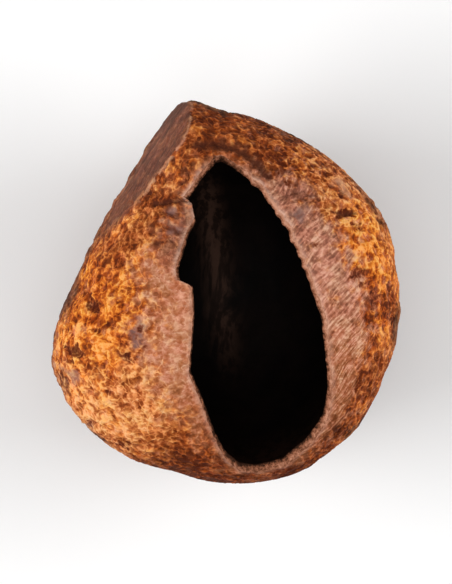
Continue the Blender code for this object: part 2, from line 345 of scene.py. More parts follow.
def round_the_plan(table, angle):
    """Smooth closed curve through a table of angles in degrees and values."""
    knots = np.radians([a for a, _ in table])
    values = np.array([v for _, v in table])
    knots = np.concatenate([knots[-2:] - 2 * math.pi, knots, knots[:2] + 2 * math.pi])
    values = np.concatenate([values[-2:], values, values[:2]])
    slopes = np.gradient(values, knots)
    angle = np.mod(angle, 2 * math.pi)
    left = np.clip(np.searchsorted(knots, angle, side="right") - 1, 0, len(knots) - 2)
    span = knots[left + 1] - knots[left]
    t = (angle - knots[left]) / span
    return (
        (2 * t**3 - 3 * t**2 + 1) * values[left]
        + (t**3 - 2 * t**2 + t) * span * slopes[left]
        + (3 * t**2 - 2 * t**3) * values[left + 1]
        + (t**3 - t**2) * span * slopes[left + 1]
    )


def along_line(points, count):
    """count points evenly spaced along a broken line, its last point left out."""
    points = np.array(points, float)
    steps = np.linalg.norm(np.diff(points, axis=0), axis=1)
    reached = np.concatenate([[0.0], np.cumsum(steps)])
    wanted = np.linspace(0.0, reached[-1], count, endpoint=False)
    return np.stack([np.interp(wanted, reached, points[:, k]) for k in (0, 1)], axis=-1)


def mouth_edge(columns):
    """The broken edge in plan with its small jags, one point for each column."""
    half = columns // 2
    right = MOUTH[: MOUTH_FOOT_CORNER + 1]
    left = MOUTH[MOUTH_FOOT_CORNER:] + MOUTH[:1]
    edge = np.concatenate([along_line(right, half), along_line(left, columns - half)])
    along = np.roll(edge, -1, axis=0) - np.roll(edge, 1, axis=0)
    into = np.stack([along[:, 1], -along[:, 0]], axis=-1)
    into /= np.linalg.norm(into, axis=1, keepdims=True)
    right_share, up_share = fade(edge[:, 0], JAGS_REACH[0]), fade(edge[:, 1], JAGS_REACH[1])
    ragged = JAGS_LEAST + (1.0 - JAGS_LEAST) * right_share * up_share
    for size, depth in JAGS:
        jag = np.array([noise.noise(Vector((x, y, 0.0)) / size) for x, y in edge])
        edge = edge + into * (depth * jag * ragged)[:, None]
    set_in = EDGE_SET_IN + TOP_SET_IN * fade(edge[:, 1] - TOP_SET_IN_FROM, TOP_SET_IN_REACH)
    return edge + into * set_in[:, None]


def widest_angles(columns):
    """Plan angle at the widest level for each column, clockwise from the top."""
    half = columns // 2
    right = np.linspace(PLAN_TOP_ANGLE, PLAN_FOOT_ANGLE, half, endpoint=False)
    left = np.linspace(PLAN_FOOT_ANGLE, PLAN_TOP_ANGLE - 360.0, columns - half, endpoint=False)
    return np.radians(np.concatenate([right, left]))


def surface_rows(columns, dome_rows, bowl_rows):
    """Angle and share of the plan radius at each row and column, from the broken edge to the bottom."""
    edge = mouth_edge(columns) - np.array(BODY_AXIS)
    edge_angle = np.arctan2(edge[:, 1], edge[:, 0])
    edge_share = np.linalg.norm(edge, axis=1) / (round_the_plan(PLAN, edge_angle) - EDGE_WALL)
    start = unit(edge_angle) * edge_share[:, None]
    wide = widest_angles(columns)
    end = unit(wide)
    polar = np.arcsin(edge_share)
    angles, shares = [], []
    for row in range(dome_rows):
        tilt = polar + (math.pi / 2 - polar) * row / dome_rows
        way = (np.sin(tilt) - edge_share) / (1.0 - edge_share)
        place = start + (end - start) * way[:, None]
        angles.append(np.arctan2(place[:, 1], place[:, 0]))
        shares.append(np.linalg.norm(place, axis=1))
    last_tilt = math.pi - math.asin(LAST_SHARE)
    for tilt in np.linspace(math.pi / 2, last_tilt, bowl_rows + 1):
        angles.append(wide)
        shares.append(np.full(columns, math.sin(tilt)))
    return np.array(angles), np.minimum(np.array(shares), 1.0)


def past_flat(points, flat, inset=0.0):
    """How far points stand out past a flat, and the flat's direction."""
    direction, tilt, distance, _ = flat
    turn, lift = math.radians(direction), math.radians(tilt)
    normal = np.array([math.cos(turn) * math.cos(lift), math.sin(turn) * math.cos(lift), math.sin(lift)])
    centre = np.array([BODY_AXIS[0], BODY_AXIS[1], WIDEST_LEVEL])
    return (points - centre) @ normal - (distance - inset), normal


def press_flats(points, inset=0.0, softness_added=0.0):
    """Pushes back what stands out past each flat, blending softly into the round."""
    for flat in FLATS:
        past, normal = past_flat(points, flat, inset)
        soft = flat[3] + softness_added
        pushed = soft * np.logaddexp(0.0, past / soft)
        points = points - pushed[..., None] * normal
    return points


def rounded_body(angles, shares, dome_rows, bowl_depth, inset=0.0):
    """The body before its flats are pressed, set in from the outside by inset, an array or a number."""
    below = (np.arange(len(shares)) >= dome_rows)[:, None]
    fullness = np.where(below, BOWL_FULLNESS, DOME_FULLNESS)
    rise = np.where(below, -bowl_depth, DOME_RISE - inset)
    height = rise * (1.0 - shares**fullness) ** (1.0 / fullness)
    radius = (round_the_plan(PLAN, angles) - inset) * shares
    plan = unit(angles) * radius[..., None] + np.array(BODY_AXIS)
    lean = np.clip(-height / WIDEST_LEVEL, 0.0, 1.0) ** BACK_LEAN_POWER
    plan = plan + lean[..., None] * np.array(BACK_LEAN)
    return np.concatenate([plan, (WIDEST_LEVEL + height)[..., None]], axis=-1)


def outward(points):
    """Unit normals of a grid of points that closes on itself along each row."""
    across = np.roll(points, -1, axis=1) - np.roll(points, 1, axis=1)
    down = np.gradient(points, axis=0)
    normals = np.cross(across, down)
    normals /= np.linalg.norm(normals, axis=-1, keepdims=True)
    return normals


def fade(distance, reach):
    """Smooth rise from 0 at no distance to 1 at reach."""
    t = np.clip(distance / reach, 0.0, 1.0)
    return t * t * (3.0 - 2.0 * t)


def run_along(points):
    """Length along each column from the first row to every row."""
    steps = np.linalg.norm(np.diff(points, axis=0), axis=-1)
    return np.concatenate([np.zeros((1, points.shape[1])), np.cumsum(steps, axis=0)])


def each(field, grid):
    """Value of a field at every point of a grid."""
    return np.array([[field(place) for place in row] for row in grid])


# Relief

def net_places(shares, run, dome_rows):
    """Where each point of the skin falls in the space that the large net's cells fill."""
    spread = NET_RADIUS * (NET_CROWDING + (1.0 - NET_CROWDING) * shares)
    plan = unit(widest_angles(shares.shape[1])) * spread[..., None]
    depth = (run - run[dome_rows]) * NET_STRETCH
    return np.concatenate([plan, depth[..., None]], axis=-1)


def net_at(place):
    """Height of the net at a place among its cells, from 0 in a cell to 1 on a ridge."""
    warped = Vector(place) + noise.noise_vector(Vector(place) / NET_WARP_SIZE) * NET_WARP
    distances, _ = noise.voronoi(warped / NET_CELL)
    return math.exp(-(((distances[1] - distances[0]) / NET_WIDTH) ** 2))


def net_share(points, past, run):
    """How much of its height the net has: none at the mouth and on the long flat, most on the back."""
    low = fade(WIDEST_LEVEL - points[..., 2], WIDEST_LEVEL - NET_FULL_LEVEL)
    off_flat = fade(-past, LONG_FLAT_BLEND)
    return (NET_SHARE_ABOVE + (1.0 - NET_SHARE_ABOVE) * low) * off_flat * fade(run, NET_MOUTH_REACH)


def worm_at(point):
    """Height of the worm-like ridges, which follow the lines where a field of lumps crosses zero."""
    place = Vector(point) * Vector(WORM_STRETCH)
    warped = place + noise.noise_vector(place / WORM_WARP_SIZE) * WORM_WARP
    return math.exp(-((noise.noise(warped / WORM_SIZE) / WORM_WIDTH) ** 2))


def pit_at(point):
    """Depth of the scattered pits at a point, from 0 to 1."""
    distances, _ = noise.voronoi(Vector(point) / PIT_CELL)
    return math.exp(-((distances[0] / PIT_SIZE) ** 2))


def thread_places(shares, run):
    """Places among the large net's cells, bent a little, for the fine threads that run with it."""
    places = net_places(shares, run, DOME_ROWS)

    def bend(place):
        place = Vector(place)
        wide_bend = noise.noise_vector(place / NET_WARP_SIZE) * NET_WARP
        return tuple(wide_bend + noise.noise_vector(place / THREAD_BEND_SIZE) * THREAD_BEND)

    return places + each(bend, places)


def noise_at(size):
    """Field of soft lumps of one size."""
    return lambda point: noise.noise(Vector(point) / size)


def lump_at(point):
    """Height of the broad lumps at a point, up or down."""
    return noise.noise(Vector(point) / LUMP_SIZE + Vector(LUMP_SEED))


def on_top(points):
    """1 on the side of the shell that the mouth is in, fading to 0 just below the widest level."""
    return fade(points[..., 2] - WIDEST_LEVEL + TOP_SIDE_REACH / 2, TOP_SIDE_REACH)


def marks(points, ragged):
    """Depth, greyness and darkness of the placed marks."""
    dent, grey, dark = (np.zeros(points.shape[:2]) for _ in range(3))
    for x, y, half_x, half_y, depth, greyness, darkness in MARKS:
        away = np.hypot((points[..., 0] - x) / half_x, (points[..., 1] - y) / half_y)
        here = 1.0 - fade(away + MARK_RAGGEDNESS * ragged - MARK_CORE, MARK_BLUR)
        here = here * on_top(points)
        dent = np.maximum(dent, depth * here)
        grey = np.maximum(grey, greyness * here)
        dark = np.maximum(dark, darkness * here)
    return dent, grey, dark


def distance_to_line(plan, line):
    """Distance in plan from each point to a broken line."""
    nearest = np.full(plan.shape[:-1], np.inf)
    for start, end in zip(line, line[1:]):
        start, step = np.array(start), np.subtract(end, start)
        share = np.clip(((plan - start) @ step) / (step @ step), 0.0, 1.0)
        nearest = np.minimum(nearest, np.linalg.norm(plan - start - share[..., None] * step, axis=-1))
    return nearest


def cracks(points, ragged):
    """Depth of the cracks and grooves."""
    depth = np.zeros(points.shape[:2])
    wandering = points[..., :2] + CRACK_WANDER * ragged[..., None]
    for line, half_width, deep in CRACKS:
        away = distance_to_line(wandering, line) / half_width
        depth = np.maximum(depth, deep * np.exp(-(away**2)) * on_top(points))
    return depth


def pale_lines(points, ragged):
    """Where the pale lines are."""
    here = np.zeros(points.shape[:2])
    above = fade(points[..., 2] - WIDEST_LEVEL, PALE_LINE_REACH)
    wandering = points[..., :2] + PALE_LINE_WANDER * ragged[..., None]
    for line, half_width in PALE_LINES:
        away = distance_to_line(wandering, line) / half_width
        here = np.maximum(here, np.exp(-(away**2)) * above)
    return here


def golden_places(points):
    """Where the amber is at its most golden."""
    here = np.zeros(points.shape[:2])
    for x, y, half_x, half_y in GOLDEN_PLACES:
        away = np.hypot((points[..., 0] - x) / half_x, (points[..., 1] - y) / half_y)
        here = np.maximum(here, np.exp(-(away**2)) * on_top(points))
    return here


def mauve_places(points):
    """Where the band is pinkish grey: its right side, and the small flap above the left notch."""
    right = np.ones(points.shape[:2])
    for k in (0, 1):
        right = right * fade(points[..., k] - MAUVE_RIGHT_FROM[k], MAUVE_RIGHT_REACH[k])
    x, y, half_x, half_y = MAUVE_FLAP
    flap = np.exp(-(((points[..., 0] - x) / half_x) ** 2) - ((points[..., 1] - y) / half_y) ** 2)
    return np.maximum(right, flap * on_top(points))


def stripe_places(points, run, wide):
    """Where each point of the skin falls among the stripes, which cross the band at a slant."""
    turn = round_the_plan(STRIPE_TURN, wide) * np.minimum(run, STRIPE_TURN_REACH)
    wander = STRIPE_WANDER * each(noise_at(STRIPE_WANDER_SIZE), points)
    slanted = wide + (wander - turn) / NET_RADIUS
    return np.concatenate([unit(slanted) * NET_RADIUS, run[..., None]], axis=-1)


def flat_places(points):
    """The same on the long flat, whose streaks run along it."""
    turn = math.radians(FLATS[0][0])
    across = points[..., 0] * math.cos(turn) + points[..., 1] * math.sin(turn)
    along = points[..., 1] * math.cos(turn) - points[..., 0] * math.sin(turn)
    return np.stack([across, points[..., 2], along], axis=-1)


def scarred_band(points, run, wide, wander):
    """How much of the scarred band is at each point, 1 beside the mouth and 0 far from it."""
    width = np.maximum(round_the_plan(BAND_WIDTH, wide), 0.0) + BAND_WANDER * wander
    on_right = fade(points[..., 0], BAND_RIGHT_REACH)
    softness = BAND_SOFTNESS + (BAND_SOFTNESS_RIGHT - BAND_SOFTNESS) * on_right
    return np.clip((width - run) / softness + 0.5, 0.0, 1.0)


def long_flat(points, past, wander):
    """Where the long flat is, from 0 outside it to 1 on it."""
    below = fade(WIDEST_LEVEL + FACET_LOWER_FROM - points[..., 2], FACET_LOWER_REACH)
    edge_wander = FACET_EDGE_WANDER * below * wander
    return fade(past + FACET_OVERLAP + edge_wander, FACET_BLUR + FACET_BLUR_BELOW * below)


def painted_crease_highlight(points, past):
    """Where the painted highlight runs along the crease at the long flat's upper edge."""
    line = np.exp(-(((past + CREASE_HIGHLIGHT_OVERLAP) / CREASE_HIGHLIGHT_HALF_WIDTH) ** 2))
    return line * fade(points[..., 1] - CREASE_HIGHLIGHT_FROM, CREASE_HIGHLIGHT_REACH) * on_top(points)


def skin_forms(points, rounded, shares, run, wide):
    """The forms of the skin, each by name as a value at every point."""
    ragged = each(noise_at(MARK_RAGGEDNESS_SIZE), points)
    wander = each(noise_at(BAND_WANDER_SIZE), points)
    past, _ = past_flat(rounded, FLATS[0])
    band = scarred_band(points, run, wide, wander)
    facet = long_flat(points, past, wander)
    dent, grey, dark = marks(points, ragged)
    return {
        "net": each(net_at, net_places(shares, run, DOME_ROWS)),
        "net_share": net_share(points, past, run),
        "worm": each(worm_at, points),
        "band": band,
        "facet": facet,
        # painted highlight along the crease
        "crease_highlight": painted_crease_highlight(points, past),
        "pit": each(pit_at, points) * (1.0 - band) * (1.0 - facet),
        "dent": dent,
        "grey": grey,
        "dark": dark,
        "crack": cracks(points, ragged),
        "pale": pale_lines(points, ragged),
    }


def skin_height(points, run, forms):
    """How far the relief lifts or sinks each point of the skin."""
    height = NET_HEIGHT * (forms["net"] - NET_MEAN) * forms["net_share"]
    height += LUMP_HEIGHT * each(lump_at, points) * fade(run, LUMP_MOUTH_REACH)
    worm = WORM_HEIGHT * (forms["worm"] - WORM_MEAN)
    worm = worm * (1.0 - WORM_LOST_ON_BAND * forms["band"])
    height += worm * (1.0 - WORM_LOST_ON_FLAT * forms["facet"])
    height -= PIT_DEPTH * forms["pit"] + forms["dent"] + SKIN_SET_IN
    return height * fade(points[..., 2], FOOT_REACH) - forms["crack"]


def amber_share(points, wide):
    """How amber the skin is: most on the mouth's side, none low down."""
    level = points[..., 2] + LEVEL_WANDER * each(noise_at(LEVEL_WANDER_SIZE), points)
    share = np.clip(round_the_plan(AMBER_SHARE, wide), 0.0, 1.0)
    return share * fade(level - AMBER_LOWEST, AMBER_FULL - AMBER_LOWEST)


def outline_sheen_share(points, wide):
    """How much painted grey sheen the skin has: most round the widest level."""
    rising = fade(points[..., 2] - SHEEN_LOWEST, SHEEN_FULL - SHEEN_LOWEST)
    falling = 1.0 - fade(points[..., 2] - SHEEN_FULL, AMBER_FULL - SHEEN_FULL)
    return rising * falling * round_the_plan(OUTLINE_SHEEN_SHARE, wide)


def skin_masks(points, run, wide, forms):
    """What the skin's material reads at each point, by name."""
    return {
        "ridge": fade(forms["net"] - RIDGE_CREST, 1.0 - RIDGE_CREST) * forms["net_share"],
        "worm": forms["worm"],
        "amber": amber_share(points, wide),
        # painted grey sheen round the widest level
        "outline_sheen": outline_sheen_share(points, wide),
        "band": forms["band"],
        # painted light and shade, by plan angle
        "tone_with_painted_light": round_the_plan(PAINTED_LIGHT_SHIFT, wide),
        "contrast": round_the_plan(CONTRAST, wide),
        # painted light and shade on the band, by plan angle
        "band_painted_light": round_the_plan(BAND_PAINTED_LIGHT_SHIFT, wide),
        "mauve": mauve_places(points),
        "striped": STRIPED_LEAST + (1.0 - STRIPED_LEAST) * fade(points[..., 0], STRIPED_REACH),
        "pale": forms["pale"],
        "golden": golden_places(points),
        "facet": forms["facet"],
        "crease_highlight": forms["crease_highlight"],
        "pit": np.maximum(forms["pit"], forms["dark"]),
        "grey": forms["grey"],
        "crack": np.clip(forms["crack"] / CRACK_FULL, 0.0, 1.0),
        # painted highlight along the rim of the broken edge
        "rim_highlight": np.exp(-((run / RIM_HIGHLIGHT_WIDTH) ** 2)) * round_the_plan(RIM_HIGHLIGHT_SHARE, wide),
    }


def outer_skin():
    """Points of the outer skin, and the masks and places that its material reads."""
    angles, shares = surface_rows(COLUMNS, DOME_ROWS, BOWL_ROWS)
    rounded = rounded_body(angles, shares, DOME_ROWS, WIDEST_LEVEL + FOOT_CUT)
    points = press_flats(rounded)
    run = run_along(points)
    wide = np.broadcast_to(widest_angles(COLUMNS), run.shape)
    forms = skin_forms(points, rounded, shares, run, wide)
    masks = skin_masks(points, run, wide, forms)
    points = points + skin_height(points, run, forms)[..., None] * outward(points)
    points[..., 2] = np.maximum(points[..., 2], 0.0)
    places = {
        "stripe_place": stripe_places(points, run, wide),
        "flat_place": flat_places(points),
        "thread_place": thread_places(shares, run),
    }
    return points, masks, places


def inner_skin():
    """Points of the inner wall, which follows the outer skin at the wall's thickness."""
    angles, shares = surface_rows(COLUMNS, INNER_DOME_ROWS, INNER_BOWL_ROWS)
    way = np.arange(len(shares))[:, None] / INNER_DOME_ROWS
    inset = EDGE_WALL + (WALL - EDGE_WALL) * fade(way, EDGE_THINNING_REACH)
    points = rounded_body(angles, shares, INNER_DOME_ROWS, WIDEST_LEVEL - WALL, inset)
    points = press_flats(points, np.mean(inset), INNER_SOFTNESS)
    lump = each(lump_at, points) * fade(run_along(points), LUMP_MOUTH_REACH)
    points = points + INNER_LUMP_HEIGHT * lump[..., None] * outward(points)
    points[-1, :, 2] = WALL
    return points


def seam_share(points):
    """How much of the faint seam along the floor of the hollow is at each point."""
    middle = np.interp(points[..., 1], [y for y, _ in SEAM_LINE], [x for _, x in SEAM_LINE])
    seam = np.exp(-(((points[..., 0] - middle) / SEAM_HALF_WIDTH) ** 2))
    from_foot = fade(points[..., 1] - SEAM_FOOT, SEAM_FOOT_REACH)
    return seam * from_foot * fade(SEAM_TOP - points[..., 1], SEAM_TOP_REACH)


def broken_edge(outer_line, inner_line):
    """Rows across the crumbled edge, between the outer line and the inner one."""
    rows = []
    across = inner_line - outer_line
    along = np.roll(outer_line, -1, axis=0) - np.roll(outer_line, 1, axis=0)
    out = np.cross(along, across)
    out /= np.linalg.norm(out, axis=1, keepdims=True)
    for k in range(1, EDGE_ROWS + 1):
        share = k / (EDGE_ROWS + 1)
        line = outer_line + across * share
        crumb = np.array([noise.noise(Vector(p) / CRUMB_SIZE) for p in line])
        bulge = EDGE_BULGE * math.sin(math.pi * share) + CRUMB_HEIGHT * crumb
        rows.append(line + out * bulge[:, None])
    return np.array(rows)


# Mesh

def grid_faces(rows, columns):
    """Four-sided faces of a grid of points that closes on itself along each row."""
    near = np.arange(columns)
    far = np.roll(near, -1)
    faces = []
    for row in range(rows - 1):
        upper, lower = row * columns, (row + 1) * columns
        faces.append(np.stack([upper + near, upper + far, lower + far, lower + near], axis=-1))
    return np.concatenate(faces)


def fan_faces(ring, centre):
    """Three-sided faces between a closed row of points and the point in its middle."""
    return [(int(a), int(b), centre) for a, b in zip(ring, np.roll(ring, -1))]


def shell_faces(rows, columns):
    """Faces of the rows in order, and of the two discs that close them at the floor and the foot."""
    faces = [tuple(map(int, face)) for face in grid_faces(rows, columns)]
    floor, foot = rows * columns, rows * columns + 1
    faces += fan_faces(np.arange(columns)[::-1], floor)
    return faces + fan_faces(np.arange((rows - 1) * columns, rows * columns), foot)


def build_shell():
    """One closed mesh: inner floor to broken edge to outer skin to the flat spot."""
    outer, masks, places = outer_skin()
    inner = inner_skin()
    edge = broken_edge(outer[0], inner[0])
    inner, edge = inner[::-1], edge[::-1]
    rows = np.concatenate([inner, edge, outer])
    discs = [inner[0].mean(axis=0), outer[-1].mean(axis=0)]
    points = (np.concatenate([rows.reshape(-1, 3), discs]) + np.array(CENTRING)) * MM
    mesh = bpy.data.meshes.new("shell_piece")
    mesh.from_pydata([tuple(p) for p in points], [], shell_faces(len(rows), COLUMNS))
    mark_regions(mesh, len(inner), len(edge), len(rows))
    first_of_skin = (len(inner) + len(edge)) * COLUMNS
    store(mesh, {**masks, **places}, first_of_skin)
    store(mesh, edge_masks(len(edge) + 2), (len(inner) - 1) * COLUMNS)
    store(mesh, inner_masks(inner), 0)
    mesh.shade_smooth()
    return mesh


def edge_masks(rows):
    """How far in each point of the broken edge is, and its painted light and shade there."""
    flat = np.ones((rows, COLUMNS))
    return {
        "into_edge": np.linspace(1.0, 0.0, rows)[:, None] * flat,
        # painted light and shade round the mouth
        "edge_painted_light": flat * round_the_plan(EDGE_PAINTED_LIGHT_SHIFT, widest_angles(COLUMNS)),
    }


def inner_masks(points):
    """What the inner wall's material reads: its seam, its lighter upper part and its fibres' run."""
    upper_wall = fade(points[..., 2] - UPPER_WALL_LOWEST, WIDEST_LEVEL - UPPER_WALL_LOWEST)
    return {"seam": seam_share(points), "upper_wall": upper_wall, "fibre_place": points[..., [0, 2, 1]]}


def mark_regions(mesh, inner_rows, edge_rows, rows):
    """Which material each face takes: the skin, the broken edge or the inner wall."""
    region = np.full(len(mesh.polygons), WOODY_COAT, np.int32)
    region[: (inner_rows - 1) * COLUMNS] = INNER_WALL
    region[(inner_rows - 1) * COLUMNS : (inner_rows + edge_rows) * COLUMNS] = BROKEN_EDGE
    floor_disc = (rows - 1) * COLUMNS
    region[floor_disc : floor_disc + COLUMNS] = INNER_WALL
    mesh.polygons.foreach_set("material_index", region)


def store(mesh, values_by_name, first):
    """Keeps masks and places on the mesh from its point number first on, with 0 elsewhere."""
    for name, values in values_by_name.items():
        is_place = values.ndim == 3
        kind, field, width = ("FLOAT_VECTOR", "vector", 3) if is_place else ("FLOAT", "value", 1)
        stored = np.zeros((len(mesh.vertices), width), np.float32)
        given = values.reshape(-1, width)
        stored[first : first + len(given)] = given
        mesh.attributes.new(name, kind, "POINT").data.foreach_set(field, stored.ravel())


# Materials

WOODY_COAT, BROKEN_EDGE, INNER_WALL = 0, 1, 2

# What each material takes from the mesh as masks
SKIN_MASKS = (
    "worm", "amber", "pit", "tone_with_painted_light", "contrast", "golden", "ridge", "facet", "outline_sheen", "crease_highlight",
    "band_painted_light", "striped", "mauve", "band", "grey", "crack", "pale", "rim_highlight",
)

# Values for the effects, in the words of their groups
SKIN_MOTTLING = {
    "patch": {"Fineness": 230.0, "Detail": 3.0, "Low": 0.36, "High": 0.64},
    "cloud": {"Fineness": 680.0, "Detail": 3.0, "Low": 0.34, "High": 0.66},
    "speck": {"Fineness": 1600.0, "Detail": 2.0, "Low": 0.38, "High": 0.62},
    "flush": {"Fineness": 560.0, "Detail": 4.0, "Low": 0.36, "High": 0.64},
}
SKIN_CRAZING = {"Fineness": 900.0, "Bend": 0.0010, "Width": 0.11}
BAND_STRIPES = {"Fineness": 1.7, "Stretch": 0.32}
FLAT_STREAKS = {"Fineness": 1.8, "Stretch": 0.10}
COARSE_THREADS = {"Fineness": 0.30, "Width": 0.10}
FINE_THREADS = {"Fineness": 0.62, "Width": 0.13}
EDGE_CRUMBS = {"Fineness": 1300.0, "Low": 0.35, "High": 0.65}
EDGE_PORES = {"Fineness": 2200.0, "Bend": 0.0003, "Width": 0.1}
WALL_STAINS = {"Fineness": 180.0, "Low": 0.3, "High": 0.75}
WALL_FIBRES = {"Fineness": 0.9, "Stretch": 0.08}
MOTTLING_ROUGHNESS = 0.6
BEND_FINENESS = 800.0

# How much of each mask goes into a mix
DETAIL_MIX = {"crisp": 0.38, "craze": 0.23, "cloud": 0.22, "speck": 0.18, "patch": 0.09}
DETAIL_MEAN = 0.48  # mean of that mix, about which its contrast turns
BROWN_MIX = {"bright": 0.8, "patch": 0.1}
GOLDEN_MIX = {"golden": 1.0, "patch": 0.5, "speck": 0.3}
AMBER_MIX = {"amber": 1.0, "cloud": 0.35, "patch": 0.25}
THREAD_MIX = {"cloud": 0.5, "patch": 0.5}
FLAT_MIX = {"streak": 0.45, "speck": 0.15, "cloud": 0.2, "patch": 0.2}
SCAR_MIX = {
    "slanted": 0.34, "craze": 0.14, "speck": 0.14, "cloud": 0.16, "patch": 0.06, "worm": 0.10,
    "band_painted_light": 1.0,
}
BAND_MIX = {"band": 1.0, "cloud": 0.45, "worm": -0.4, "patch": 0.25, "speck": -0.1}
HOLLOW_MIX = {"pit": 1.0, "speck": -0.25, "craze": -0.3, "cloud": -0.1}
COAT_HEIGHT_MIX = {"craze": 0.45, "cloud": 0.3, "speck": 0.25, "thread": 1.2}
EDGE_MIX = {"crumb": 0.45, "pores": 0.2, "inward": -0.6, "edge_painted_light": 1.0}
EDGE_MEAN = 0.3

# Where a mask starts to count and where it counts in full, and what it gives there if not 0 and 1
CRISP_LIMITS = (-1.0, 1.2)
WARMTH_LIMITS = (0.03, 1.03)
GOLDEN_LIMITS = (0.3, 1.1)
AMBER_LIMITS = (0.35, 1.0)
RIDGE_LIMITS = (-0.3, 1.2, 0.2, 0.9)
THREAD_LIMITS = (0.0, 0.9)
SHEEN_LIMITS = (-0.4, 0.9)
CREASE_HIGHLIGHT_LIMITS = (0.2, 0.6)
SCAR_LIMITS = (0.0, 0.95)
BAND_LIMITS = (0.05, 1.05)
HOLLOW_LIMITS = (-0.1, 0.6, 0.0, 0.92)
PALE_LIMITS = (-0.3, 0.7)
RIM_HIGHLIGHT_LIMITS = (-0.4, 1.0, 0.2, 0.8)
COAT_ROUGHNESS_LIMITS = (0.0, 1.2, 0.7, 0.5)
INWARD_LIMITS = (0.4, 1.1)
SEAM_LIMITS = (0.0, 1.0, 0.25, 1.0)
UPPER_WALL_LIMITS = (-0.5, 1.0, 0.1, 1.0)

# How much of a colour shows where its mask is whole
COARSE_THREAD_STRENGTH = 0.95
FINE_THREAD_STRENGTH = 0.5
THREAD_STRENGTH = 0.85
GREY_STRENGTH = 0.85
CREASE_HIGHLIGHT_STRENGTH = 0.8
BRUISE_STRENGTH = 0.75
CRACK_AND_SHADOW_STRENGTH = 0.85
PALE_STRENGTH = 0.7

# Bump: distance in metres and strength
COAT_BUMP = (0.00016, 0.8)
EDGE_BUMP = (0.0001, 0.8)
WALL_BUMP = (0.0002, 0.5)

# Shine: specular level, and roughness where it is the same all over
COAT_SPECULAR = 0.04
EDGE_SPECULAR = 0.1
EDGE_ROUGHNESS = 0.8
WALL_SPECULAR = 0.15
WALL_ROUGHNESS = 0.7

# Colours from dark to bright, each with the place on its ramp
BROWN_TONES = (
    (0.0, (0.018, 0.005, 0.002)),
    (0.35, (0.075, 0.018, 0.005)),
    (0.7, (0.220, 0.056, 0.014)),
    (1.0, (0.460, 0.170, 0.060)),
)
AMBER_TONES = (
    (0.0, (0.085, 0.015, 0.004)),
    (0.25, (0.280, 0.060, 0.011)),
    (0.55, (0.530, 0.163, 0.042)),
    (0.8, (0.780, 0.320, 0.105)),
    (1.0, (0.900, 0.480, 0.210)),
)
GOLDEN_TONES = (
    (0.0, (0.090, 0.015, 0.003)),
    (0.25, (0.300, 0.050, 0.005)),
    (0.55, (0.560, 0.135, 0.014)),
    (0.8, (0.790, 0.260, 0.032)),
    (1.0, (0.900, 0.420, 0.110)),
)
BAND_TONES = (
    (0.0, (0.170, 0.045, 0.014)),
    (0.35, (0.380, 0.125, 0.050)),
    (0.6, (0.500, 0.205, 0.110)),
    (1.0, (0.760, 0.410, 0.260)),
)
MAUVE_TONES = (
    (0.0, (0.140, 0.050, 0.030)),
    (0.35, (0.350, 0.134, 0.078)),
    (0.7, (0.570, 0.260, 0.160)),
    (1.0, (0.760, 0.430, 0.300)),
)
FACET_TONES = (
    (0.0, (0.082, 0.031, 0.018)),
    (0.5, (0.140, 0.054, 0.033)),
    (1.0, (0.215, 0.088, 0.058)),
)
EDGE_TONES = (
    (0.0, (0.030, 0.010, 0.004)),
    (0.3, (0.190, 0.066, 0.031)),
    (0.6, (0.400, 0.160, 0.088)),
    (1.0, (0.620, 0.310, 0.200)),
)
HOLLOW_TONES = (
    (0.0, (0.380, 0.095, 0.020)),
    (0.4, (0.170, 0.032, 0.008)),
    (0.8, (0.060, 0.009, 0.003)),
)
FLUSH_TINTS = (
    (0.0, (1.000, 0.900, 0.930)),
    (1.0, (0.960, 1.000, 0.980)),
)
# pale colour of the painted highlight on the crease, and of the pale lines
CREASE_HIGHLIGHT_AND_LINE_PALE = (0.56, 0.29, 0.17, 1.0)
RIDGE_TAN = (0.46, 0.20, 0.075, 1.0)
# dark brown of the cracks and of the painted shadow above the mouth
CRACK_AND_SHADOW_BROWN = (0.070, 0.018, 0.009, 1.0)
BRUISE_GREY = (0.21, 0.13, 0.12, 1.0)
# pale colour of the painted highlight along the rim
RIM_HIGHLIGHT_PALE = (0.66, 0.40, 0.30, 1.0)
# The hollow's wall is painted nearly black as shade, lighter only near the rim
WALL_PAINTED_SHADE = (0.0025, 0.0010, 0.0008, 1.0)
WALL_SHADED_STAIN = (0.010, 0.0045, 0.003, 1.0)
WALL_SEAM = (0.150, 0.075, 0.050, 1.0)
WALL_UPPER = (0.075, 0.032, 0.019, 1.0)


def join(tree, value, socket):
    """Links a socket's value into an input, or sets the input to a constant."""
    if isinstance(value, bpy.types.NodeSocket):
        tree.links.new(value, socket)
    else:
        socket.default_value = value


def add(tree, kind, inputs=None, **settings):
    """Adds a node; inputs are given by name or number, as sockets or constants."""
    node = tree.nodes.new(kind)
    for name, value in settings.items():
        setattr(node, name, value)
    for name, value in (inputs or {}).items():
        join(tree, value, node.inputs[name])
    return node


def mask(tree, name):
    """A mask kept on the mesh."""
    return add(tree, "ShaderNodeAttribute", attribute_name=name).outputs["Fac"]


def place_on(tree, name):
    """Places kept on the mesh, for a pattern to follow."""
    return add(tree, "ShaderNodeAttribute", attribute_name=name).outputs["Vector"]


def blend(tree, share, first, second):
    """The first colour turning into the second as the share goes from 0 to 1."""
    node = add(tree, "ShaderNodeMix", {0: share, 6: first, 7: second}, data_type="RGBA")
    return node.outputs[2]


def cover(tree, colour, by, where, strength):
    """A colour covered by another one where a mask says, as much as the strength says."""
    return blend(tree, times(tree, where, strength), colour, by)


def tint(tree, colour, by):
    """A colour times another one."""
    node = add(tree, "ShaderNodeMix", {0: 1.0, 6: colour, 7: by}, data_type="RGBA", blend_type="MULTIPLY")
    return node.outputs[2]


def reckon(tree, operation, *values):
    """Result of one step of arithmetic."""
    return add(tree, "ShaderNodeMath", dict(enumerate(values)), operation=operation).outputs[0]


